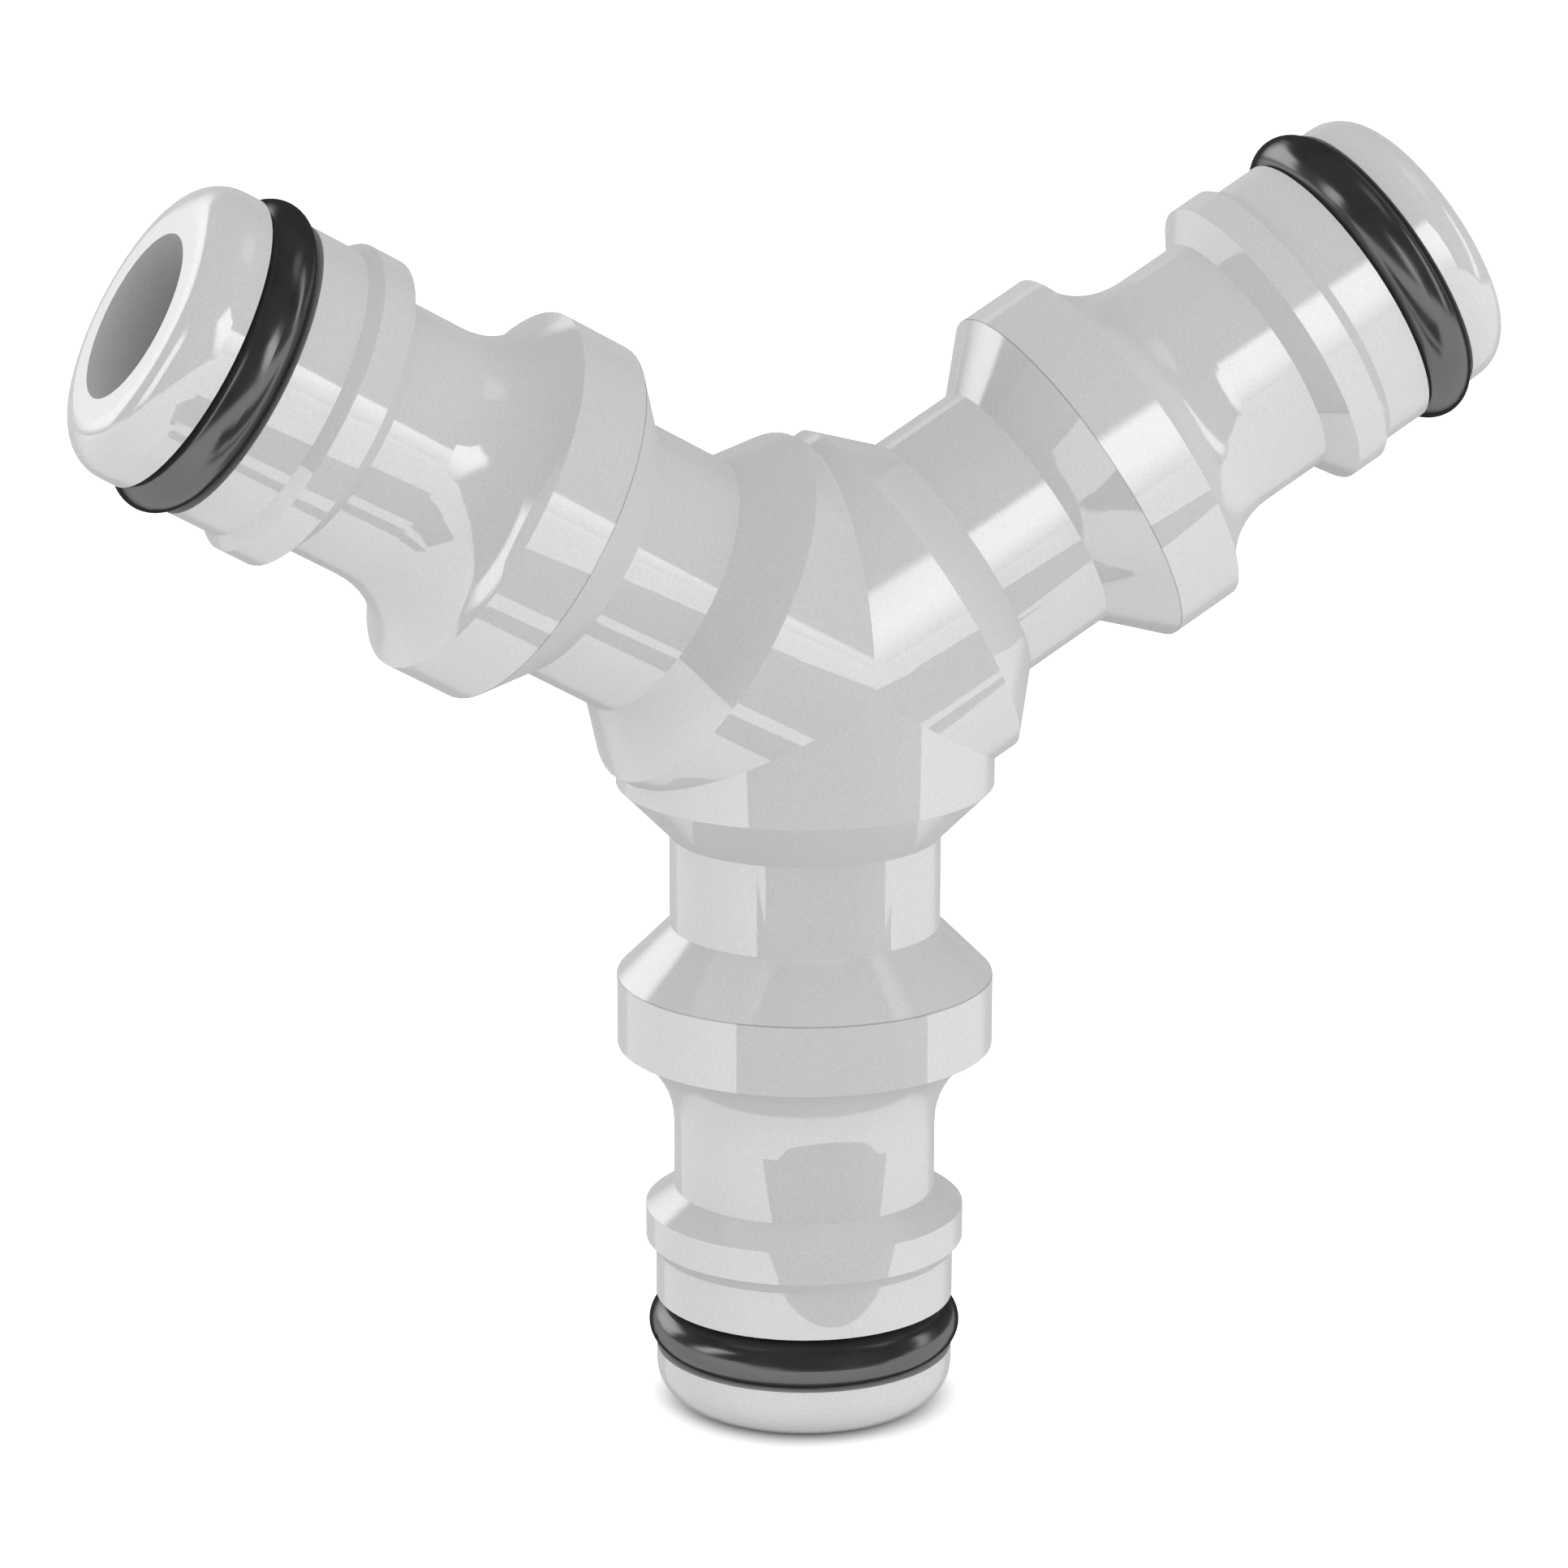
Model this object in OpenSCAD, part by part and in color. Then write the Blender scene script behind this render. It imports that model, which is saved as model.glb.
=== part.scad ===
// Three-way hose connector. One moulded body has three equal hollow spigots,
// a third of a turn apart in one upright plane. Each spigot carries an O-ring.
// The origin is the centre of the lower spigot's end face, +Z runs up that
// spigot, and the upper two spigots lean towards -X and +X.

/* [Hub and necks] */
// Diameter of the hub, where the three arms meet in mitred creases
hub_d = 19.6; // [17:0.1:24]
// Length of each hub arm's full diameter, from the hub's centre
hub_len = 6.45; // [6:0.05:10]
// Diameter of the neck between the hub and the flange
neck_d = 14.1; // [12.5:0.1:16]
// Length of the neck at its full diameter
neck_len = 4.85; // [2:0.05:12]
// Slope of the cones at both ends of the neck, from the arm's axis
neck_cone_angle = 45; // [30:1:60]

/* [Flange] */
// Diameter of the flange that stops the mating socket
flange_d = 19.6; // [18.5:0.1:24]
// Length of the flange's rim
flange_len = 3.7; // [1.5:0.05:8]
// Radius of the hollow sweep from the rim down to the latch groove
flange_sweep_r = 4.8; // [3.5:0.1:7]

/* [Latch groove and collar] */
// Diameter of the latch groove, which the socket's claws grip
latch_d = 13.7; // [12.5:0.1:14.5]
// Length of the latch groove at its full depth
latch_len = 3.45; // [2:0.05:8]
// Diameter of the collar that the claws catch behind
collar_d = 16.7; // [16:0.05:18]
// Length of the collar at its full diameter
collar_len = 1.75; // [1:0.05:4]
// Slope of the collar's back, from the arm's axis
collar_back_angle = 55; // [40:1:75]
// Length of the bevel at the collar's front
collar_bevel_len = 0.65; // [0.3:0.05:1.5]

/* [Nose] */
// Diameter of the land between the collar and the O-ring's groove
land_d = 15.65; // [15:0.05:16]
// Length of the land
land_len = 2.55; // [1.5:0.05:6]
// Diameter of the nose in front of the O-ring
nose_d = 15.6; // [15:0.05:16]
// Length of the nose, from the groove to the end face
nose_len = 2.95; // [2.3:0.05:6]
// Radius that rounds the nose's outer edge
nose_edge_r = 2.1; // [0.5:0.1:2.2]
// Diameter of the bore through each arm
bore_d = 8.9; // [6:0.1:9.4]
// How far the round chamber where the bores meet reaches past their crotches
junction_relief = 0.2; // [0.1:0.05:1]

/* [O-rings] */
// Thickness of the lower spigot's O-ring
ring_bottom_d = 2.5; // [2.2:0.05:2.9]
// Thickness of the left spigot's O-ring
ring_left_d = 2.65; // [2.2:0.05:2.9]
// Thickness of the right spigot's O-ring
ring_right_d = 2.85; // [2.2:0.05:2.9]
// Diameter of the O-ring groove's floor
groove_floor_d = 11.3; // [11:0.1:12]
// Clearance between an O-ring and the floor or wall that it lies against
ring_clearance = 0.05; // [0.02:0.01:0.1]

/* [Hidden] */
$fn = 96;

// The arms share the full turn equally
arm_count = 3;
arm_step = 360 / arm_count;
// How far cutters run out past the faces that they open or round
cutter_overrun = 1;

hub_r = hub_d / 2;
neck_r = neck_d / 2;
flange_r = flange_d / 2;
latch_r = latch_d / 2;
collar_r = collar_d / 2;
land_r = land_d / 2;
nose_r = nose_d / 2;
bore_r = bore_d / 2;
junction_r = bore_r / sin(arm_step / 2) + junction_relief;
floor_r = groove_floor_d / 2;
groove_len = max(ring_bottom_d, ring_left_d, ring_right_d) + ring_clearance;

// Stations along an arm, as distances from the hub's centre
hub_end = hub_len;
neck_start = hub_end + (hub_r - neck_r) / tan(neck_cone_angle);
neck_end = neck_start + neck_len;
flange_start = neck_end + (flange_r - neck_r) / tan(neck_cone_angle);
flange_end = flange_start + flange_len;
sweep_rise = flange_sweep_r - (flange_r - latch_r);
latch_start = flange_end + sqrt(pow(flange_sweep_r, 2) - pow(sweep_rise, 2));
latch_end = latch_start + latch_len;
collar_start = latch_end + (collar_r - latch_r) / tan(collar_back_angle);
collar_end = collar_start + collar_len;
land_start = collar_end + collar_bevel_len;
groove_start = land_start + land_len;
groove_end = groove_start + groove_len;
arm_len = groove_end + nose_len;

// Places an arm's parts: 0 is the lower arm, 1 the left one, 2 the right one
module at_arm(index) {
    translate([0, 0, arm_len])
        rotate([0, 180 + index * arm_step, 0])
            children();
}

// Half section from the hub to the end of the flange's sweep:
// the distance from the arm's axis is along X, the distance from the hub along Y
module hub_and_flange_section() {
    difference() {
        polygon([
            [0, 0],
            [hub_r, 0],
            [hub_r, hub_end],
            [neck_r, neck_start],
            [neck_r, neck_end],
            [flange_r, flange_start],
            [flange_r, latch_start],
            [0, latch_start]
        ]);
        translate([latch_r + flange_sweep_r, latch_start])
            circle(r = flange_sweep_r);
    }
}

// What the rounding takes off the nose's square corner
module nose_corner_section() {
    difference() {
        translate([nose_r - nose_edge_r, arm_len - nose_edge_r])
            square(nose_edge_r + cutter_overrun);
        translate([nose_r - nose_edge_r, arm_len - nose_edge_r])
            circle(r = nose_edge_r);
    }
}

// Half section from the latch groove to the end face
module latch_and_nose_section() {
    difference() {
        polygon([
            [0, latch_start],
            [latch_r, latch_start],
            [latch_r, latch_end],
            [collar_r, collar_start],
            [collar_r, collar_end],
            [land_r, land_start],
            [land_r, groove_start],
            [floor_r, groove_start],
            [floor_r, groove_end],
            [nose_r, groove_end],
            [nose_r, arm_len],
            [0, arm_len]
        ]);
        nose_corner_section();
    }
}

// Outside of one arm, from the hub's centre to its end face
module arm() {
    rotate_extrude()
        union() {
            hub_and_flange_section();
            latch_and_nose_section();
        }
}

// Bore of one arm, from the hub's centre out past the end face
module bore() {
    cylinder(r = bore_r, h = arm_len + cutter_overrun);
}

// All the bores, and the round chamber in the hub where they meet
module waterway() {
    for (index = [0 : arm_count - 1])
        at_arm(index)
            bore();
    translate([0, 0, arm_len])
        sphere(r = junction_r);
}

// The arms' full-diameter ends meet at the hub's centre in mitred creases
module body() {
    color("gainsboro")
        difference() {
            union()
                for (index = [0 : arm_count - 1])
                    at_arm(index)
                        arm();
            waterway();
        }
}

// O-ring of the given thickness, seated on the groove's floor
module o_ring(thickness, station) {
    color("#202020")
        translate([0, 0, station])
            rotate_extrude()
                translate([floor_r + ring_clearance + thickness / 2, 0])
                    circle(d = thickness);
}

// The lower O-ring has slid down onto the groove's lower wall
module o_ring_bottom() {
    at_arm(0)
        o_ring(ring_bottom_d, groove_end - ring_clearance - ring_bottom_d / 2);
}

// The upper two O-rings lie in the middle of their grooves
module o_ring_left() {
    at_arm(1)
        o_ring(ring_left_d, (groove_start + groove_end) / 2);
}

module o_ring_right() {
    at_arm(2)
        o_ring(ring_right_d, (groove_start + groove_end) / 2);
}

body();
o_ring_bottom();
o_ring_left();
o_ring_right();
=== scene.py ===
import math

import bpy
from mathutils import Matrix, Vector


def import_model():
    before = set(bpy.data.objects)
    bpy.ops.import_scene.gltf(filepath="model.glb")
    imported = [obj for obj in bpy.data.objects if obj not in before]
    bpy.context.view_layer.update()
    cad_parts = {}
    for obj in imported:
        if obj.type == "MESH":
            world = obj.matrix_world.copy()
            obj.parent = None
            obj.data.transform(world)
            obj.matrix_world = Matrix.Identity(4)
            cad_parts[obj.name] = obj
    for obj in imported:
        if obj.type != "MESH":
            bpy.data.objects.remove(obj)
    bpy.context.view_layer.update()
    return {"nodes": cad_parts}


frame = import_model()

# The hub's centre, above the spot where the part stands
HUB_HEIGHT = 0.0402295
HUB_CENTRE = Vector((0, 0, HUB_HEIGHT))

# Camera, placed by a perspective fit of the arms' outline
CAMERA_PLACE = Vector((-0.10242, -0.26706, 0.11131))
CAMERA_RIGHT = Vector((0.9352, -0.3542, 0.0011))
CAMERA_BACK = Vector((-0.3421, -0.9023, 0.2624))
SENSOR_WIDTH_MM = 36.0
FOCAL_LENGTH_PIXELS = 7059.5
IMAGE_WIDTH_PIXELS = 1932
CLIP_NEAR = 0.01
CLIP_FAR = 50


def make_camera():
    back = CAMERA_BACK.normalized()
    right = (CAMERA_RIGHT - back * CAMERA_RIGHT.dot(back)).normalized()
    up = back.cross(right)
    data = bpy.data.cameras.new("camera")
    data.sensor_width = SENSOR_WIDTH_MM
    data.lens = SENSOR_WIDTH_MM * FOCAL_LENGTH_PIXELS / IMAGE_WIDTH_PIXELS
    data.clip_start = CLIP_NEAR
    data.clip_end = CLIP_FAR
    camera = bpy.data.objects.new("camera", data)
    bpy.context.scene.collection.objects.link(camera)
    turn = Matrix((right, up, back)).transposed()
    camera.matrix_world = Matrix.Translation(CAMERA_PLACE) @ turn.to_4x4()
    bpy.context.scene.camera = camera


make_camera()

# Helpers for shader nodes, and the two values between which most of a noise texture lies
NOISE_LOW = 0.3
NOISE_HIGH = 0.7


def new_material(name):
    material = bpy.data.materials.new(name)
    material.use_nodes = True
    nodes = material.node_tree.nodes
    nodes.clear()
    out = nodes.new("ShaderNodeOutputMaterial")
    return material, nodes, material.node_tree.links, out.inputs["Surface"]


def noise(nodes, links, scale, detail):
    place = nodes.new("ShaderNodeTexCoord")
    texture = nodes.new("ShaderNodeTexNoise")
    texture.inputs["Scale"].default_value = scale
    texture.inputs["Detail"].default_value = detail
    links.new(place.outputs["Object"], texture.inputs["Vector"])
    return texture.outputs["Fac"]


def spread(nodes, links, noise_value, low, high):
    node = nodes.new("ShaderNodeMapRange")
    node.inputs["From Min"].default_value = NOISE_LOW
    node.inputs["From Max"].default_value = NOISE_HIGH
    node.inputs["To Min"].default_value = low
    node.inputs["To Max"].default_value = high
    links.new(noise_value, node.inputs["Value"])
    return node.outputs["Result"]


def grey(nodes, links, value):
    node = nodes.new("ShaderNodeCombineColor")
    for channel in ("Red", "Green", "Blue"):
        links.new(value, node.inputs[channel])
    return node.outputs["Color"]


def calculate(nodes, links, operation, *values):
    node = nodes.new("ShaderNodeMath")
    node.operation = operation
    for socket, value in zip(node.inputs, values):
        if isinstance(value, (int, float)):
            socket.default_value = value
        else:
            links.new(value, socket)
    return node.outputs["Value"]


# Even gloss of the plastic and the rubber
GLOSS_IOR = 1.65
GLOSS_LEVEL = 0.5
GLOSS_FALL_START = 0.1
GLOSS_FALL_END = 0.76


def glossy_shader(nodes, links, surface):
    # The photo's surfaces reflect no more towards their outline than in their middle, so the
    # specular level falls with the facing angle as the plain Fresnel reflection rises
    shader = nodes.new("ShaderNodeBsdfPrincipled")
    shader.inputs["IOR"].default_value = GLOSS_IOR
    links.new(shader.outputs["BSDF"], surface)
    angle = nodes.new("ShaderNodeLayerWeight")
    fall = nodes.new("ShaderNodeMapRange")
    fall.interpolation_type = "SMOOTHSTEP"
    links.new(angle.outputs["Facing"], fall.inputs["Value"])
    fall.inputs["From Min"].default_value = GLOSS_FALL_START
    fall.inputs["From Max"].default_value = GLOSS_FALL_END
    fall.inputs["To Min"].default_value = GLOSS_LEVEL
    fall.inputs["To Max"].default_value = 0.0
    links.new(fall.outputs["Result"], shader.inputs["Specular IOR Level"])
    return shader


# Glossy moulded plastic with a faint cloudiness, a fine grain and an uneven polish
PLASTIC_GREY = 0.58
CLOUD_SCALE = 90
CLOUD_DETAIL = 3
CLOUD_SHADE = 0.006
GRAIN_SCALE = 8000
GRAIN_DETAIL = 2
GRAIN_SHADE = 0.03
POLISH_SCALE = 400
POLISH_DETAIL = 2
PLASTIC_ROUGHNESS = (0.025, 0.045)

# Fine dark line along each flange's edge on the hub's side
FLANGE_RADIUS = 0.0098
FLANGE_START = 0.0168
EDGE_LINE_HALF_WIDTH = 0.00007
EDGE_LINE_SHADE = 0.42


def edge_line(nodes, links):
    # On the outside, only these edges lie at their distance from the hub's centre
    place = nodes.new("ShaderNodeTexCoord")
    reach = nodes.new("ShaderNodeVectorMath")
    reach.operation = "DISTANCE"
    links.new(place.outputs["Object"], reach.inputs[0])
    reach.inputs[1].default_value = HUB_CENTRE
    edge_distance = math.hypot(FLANGE_START, FLANGE_RADIUS)
    offset = calculate(nodes, links, "SUBTRACT", reach.outputs["Value"], edge_distance)
    line = nodes.new("ShaderNodeMapRange")
    line.interpolation_type = "SMOOTHSTEP"
    links.new(calculate(nodes, links, "ABSOLUTE", offset), line.inputs["Value"])
    line.inputs["From Max"].default_value = EDGE_LINE_HALF_WIDTH
    line.inputs["To Min"].default_value = 1 - EDGE_LINE_SHADE
    line.inputs["To Max"].default_value = 1.0
    return line.outputs["Result"]


def plastic():
    material, nodes, links, surface = new_material("plastic")
    shader = glossy_shader(nodes, links, surface)
    cloud = noise(nodes, links, CLOUD_SCALE, CLOUD_DETAIL)
    tone = spread(nodes, links, cloud, PLASTIC_GREY - CLOUD_SHADE, PLASTIC_GREY + CLOUD_SHADE)
    grain = noise(nodes, links, GRAIN_SCALE, GRAIN_DETAIL)
    grain_tone = spread(nodes, links, grain, -GRAIN_SHADE, GRAIN_SHADE)
    tone = calculate(nodes, links, "ADD", tone, grain_tone)
    tone = calculate(nodes, links, "MULTIPLY", tone, edge_line(nodes, links))
    links.new(grey(nodes, links, tone), shader.inputs["Base Color"])
    polish = noise(nodes, links, POLISH_SCALE, POLISH_DETAIL)
    links.new(spread(nodes, links, polish, *PLASTIC_ROUGHNESS), shader.inputs["Roughness"])
    return material


# Black rubber of the O-rings, cloudy in tone and polish alike
RUBBER_SCALE = 500
RUBBER_DETAIL = 3
RUBBER_GREY = (0.024, 0.032)
RUBBER_ROUGHNESS = (0.16, 0.24)


def rubber():
    material, nodes, links, surface = new_material("seal_rubber")
    shader = glossy_shader(nodes, links, surface)
    cloud = noise(nodes, links, RUBBER_SCALE, RUBBER_DETAIL)
    tone = spread(nodes, links, cloud, *RUBBER_GREY)
    links.new(grey(nodes, links, tone), shader.inputs["Base Color"])
    links.new(spread(nodes, links, cloud, *RUBBER_ROUGHNESS), shader.inputs["Roughness"])
    return material


def dress_nodes():
    materials = {"plastic": plastic(), "seal_rubber": rubber()}
    for name, node in frame["nodes"].items():
        slot = "plastic" if name == "body" else "seal_rubber"
        node.data.materials.clear()
        node.data.materials.append(materials[slot])


dress_nodes()


# Anything on the stage, which isn't part of the object
def stage_mesh(name, points, faces, material):
    mesh = bpy.data.meshes.new(name)
    mesh.from_pydata(points, [], faces)
    mesh.materials.append(material)
    obj = bpy.data.objects.new(name, mesh)
    bpy.context.scene.collection.objects.link(obj)
    return obj


# Floor of white paper
FLOOR_COLOUR = 0.88
FLOOR_HALF_WIDTH = 4.0
FLOOR_GLOW_SEEN = 0.55
FLOOR_GLOW_REFLECTED = 1.5
FLOOR_SHADE_REACH = 0.0017
FLOOR_SHADE_POWER = 0.5


def floor():
    # The camera and the reflections see the paper brighter than its light alone makes it, but the camera
    # not where the part stands close over it, so that the contact shadow stays deep. That shadow is partly
    # cast by the lights and partly painted
    # shade: ambient occlusion darkens the paper's colour and the camera's glow close under the part
    material, nodes, links, surface = new_material("floor")
    nearness = nodes.new("ShaderNodeAmbientOcclusion")
    nearness.inputs["Distance"].default_value = FLOOR_SHADE_REACH
    # Painted shade: the paper's colour and its glow darken with the ambient occlusion close under the part
    painted_contact_shade = calculate(nodes, links, "POWER", nearness.outputs["AO"], FLOOR_SHADE_POWER)
    paper = nodes.new("ShaderNodeBsdfDiffuse")
    tone = calculate(nodes, links, "MULTIPLY", painted_contact_shade, FLOOR_COLOUR)
    links.new(grey(nodes, links, tone), paper.inputs["Color"])
    ray = nodes.new("ShaderNodeLightPath")
    seen = calculate(nodes, links, "MULTIPLY", ray.outputs["Is Camera Ray"], FLOOR_GLOW_SEEN)
    seen = calculate(nodes, links, "MULTIPLY", seen, painted_contact_shade)
    reflected = calculate(nodes, links, "MULTIPLY", ray.outputs["Is Glossy Ray"], FLOOR_GLOW_REFLECTED)
    glow = nodes.new("ShaderNodeEmission")
    links.new(calculate(nodes, links, "ADD", seen, reflected), glow.inputs["Strength"])
    both = nodes.new("ShaderNodeAddShader")
    links.new(paper.outputs["BSDF"], both.inputs[0])
    links.new(glow.outputs["Emission"], both.inputs[1])
    links.new(both.outputs["Shader"], surface)
    material.cycles.emission_sampling = "NONE"
    half = FLOOR_HALF_WIDTH
    corners = [(-half, -half, 0), (half, -half, 0), (half, half, 0), (-half, half, 0)]
    stage_mesh("floor", corners, [(0, 1, 2, 3)], material)


floor()

# Black cards in front of the part, which only the reflections show
CARD_COLOUR = (0.03, 0.03, 0.03, 1)
# Each card's name and its upright lines from left to right: a line's X, its Y, its lower and upper Z
CARDS = [
    ("low", [
        (-0.049, -0.0290, 0.0010, 0.0160),
        (-0.035, -0.0268, 0.0010, 0.0170),
        (-0.019, -0.0249, 0.0010, 0.0193),
        (-0.017, -0.0247, 0.0001, 0.0193),
        (0.015, -0.0247, 0.0001, 0.0193),
        (0.017, -0.0249, 0.0010, 0.0193),
        (0.029, -0.0275, 0.0010, 0.0175),
        (0.039, -0.0300, 0.0010, 0.0160),
    ]),
    ("high", [
        (-0.057, -0.0433, 0.0056, 0.0352),
        (0.0465, -0.0433, 0.0056, 0.0352),
    ]),
]


def cards():
    material, nodes, links, surface = new_material("card")
    black = nodes.new("ShaderNodeBsdfDiffuse")
    black.inputs["Color"].default_value = CARD_COLOUR
    links.new(black.outputs["BSDF"], surface)
    for name, lines in CARDS:
        points = []
        for x, y, low_z, high_z in lines:
            points += [(x, y, low_z), (x, y, high_z)]
        faces = [(2 * i, 2 * i + 2, 2 * i + 3, 2 * i + 1) for i in range(len(lines) - 1)]
        card = stage_mesh("card_" + name, points, faces, material)
        card.visible_camera = False
        card.visible_diffuse = False
        card.visible_shadow = False
        card.visible_transmission = False


cards()

# World: white to the camera, a soft light that is strongest overhead, and dark in the reflections
ROOM_LIGHT_LEVEL = 0.515
ROOM_LIGHT_OVERHEAD = 1.24
ROOM_LIGHT_RISE_START = 0.3


def world():
    shade = bpy.data.worlds.new("world")
    bpy.context.scene.world = shade
    shade.use_nodes = True
    nodes = shade.node_tree.nodes
    links = shade.node_tree.links
    nodes.clear()
    place = nodes.new("ShaderNodeTexCoord")
    axes = nodes.new("ShaderNodeSeparateXYZ")
    links.new(place.outputs["Generated"], axes.inputs["Vector"])
    room = nodes.new("ShaderNodeMapRange")
    room.interpolation_type = "SMOOTHSTEP"
    links.new(axes.outputs["Z"], room.inputs["Value"])
    room.inputs["From Min"].default_value = ROOM_LIGHT_RISE_START
    room.inputs["To Min"].default_value = ROOM_LIGHT_LEVEL
    room.inputs["To Max"].default_value = ROOM_LIGHT_OVERHEAD
    ray = nodes.new("ShaderNodeLightPath")
    pick = nodes.new("ShaderNodeMapRange")
    links.new(ray.outputs["Is Camera Ray"], pick.inputs["Value"])
    links.new(room.outputs["Result"], pick.inputs["To Min"])
    pick.inputs["To Max"].default_value = 1.0
    background = nodes.new("ShaderNodeBackground")
    links.new(pick.outputs["Result"], background.inputs["Strength"])
    out = nodes.new("ShaderNodeOutputWorld")
    links.new(background.outputs["Background"], out.inputs["Surface"])
    shade.cycles_visibility.glossy = False


world()

# Softboxes around the hub's centre, placed by their reflections in the photo
SOFTBOX_DISTANCE = 1.2
EVEN_FADES = (0.25, 0.25, 0.25, 0.25)
BACK_CORNERS = [(168, -2), (228, -2), (228, 30), (168, 30)]
BACK_FADES = (0.5, 0.1, 0.2, 0.2)
# Each panel's name, its corners as azimuth from the front (-Y) towards +X and height angle in degrees, its
# radiance, and the shares of its width and height over which its left, right, lower and upper edge fade.
# The back one is two panels in one place, because its reflections are strong and its light is mild
SOFTBOXES = [
    ("front", [(5, -14), (39, -14), (15, 37), (-17, 35)], 5.3, (0.42, 0.06, 0.6, 0.15)),
    ("right", [(66, -2), (82, -2), (100, 37), (82, 37)], 3.9, (0.25, 0.25, 0.15, 0.25)),
    ("left", [(-114, -2), (-94, -2), (-72, 36), (-97, 36)], 4.8, EVEN_FADES),
    ("back_gloss", BACK_CORNERS, 5.4, BACK_FADES),
    ("back_light", BACK_CORNERS, 3.3, BACK_FADES),
    ("top", [(60, 45), (110, 45), (110, 70), (60, 70)], 1.0, EVEN_FADES),
]
# The left, right, lower and upper edge on a panel's own map
PANEL_EDGES = (("X", 0), ("X", 1), ("Y", 0), ("Y", 1))
PANEL_CORNERS = ((0, 0), (1, 0), (1, 1), (0, 1))


def softbox_material(radiance, fades):
    material, nodes, links, surface = new_material("softbox")
    place = nodes.new("ShaderNodeUVMap")
    place.uv_map = "panel"
    axes = nodes.new("ShaderNodeSeparateXYZ")
    links.new(place.outputs["UV"], axes.inputs["Vector"])
    strength = radiance
    for (axis, edge), fade in zip(PANEL_EDGES, fades):
        offset = calculate(nodes, links, "SUBTRACT", axes.outputs[axis], edge)
        ramp = nodes.new("ShaderNodeMapRange")
        ramp.interpolation_type = "SMOOTHSTEP"
        links.new(calculate(nodes, links, "ABSOLUTE", offset), ramp.inputs["Value"])
        ramp.inputs["From Max"].default_value = fade
        strength = calculate(nodes, links, "MULTIPLY", ramp.outputs["Result"], strength)
    glow = nodes.new("ShaderNodeEmission")
    links.new(strength, glow.inputs["Strength"])
    links.new(glow.outputs["Emission"], surface)
    return material


def softbox_corner(azimuth, height):
    turn = math.radians(azimuth)
    rise = math.radians(height)
    way = Vector((math.sin(turn) * math.cos(rise), -math.cos(turn) * math.cos(rise), math.sin(rise)))
    return HUB_CENTRE + way * SOFTBOX_DISTANCE


def softboxes():
    for name, corners, radiance, fades in SOFTBOXES:
        points = [softbox_corner(azimuth, height) for azimuth, height in corners]
        material = softbox_material(radiance, fades)
        panel = stage_mesh("softbox_" + name, points, [(0, 1, 2, 3)], material)
        layer = panel.data.uv_layers.new(name="panel")
        for corner, place in zip(layer.data, PANEL_CORNERS):
            corner.uv = place
        panel.visible_camera = False
        panel.visible_shadow = False
        panel.visible_diffuse = not name.endswith("_gloss")
        panel.visible_glossy = not name.endswith("_light")


softboxes()

bpy.context.scene.view_settings.view_transform = "Standard"
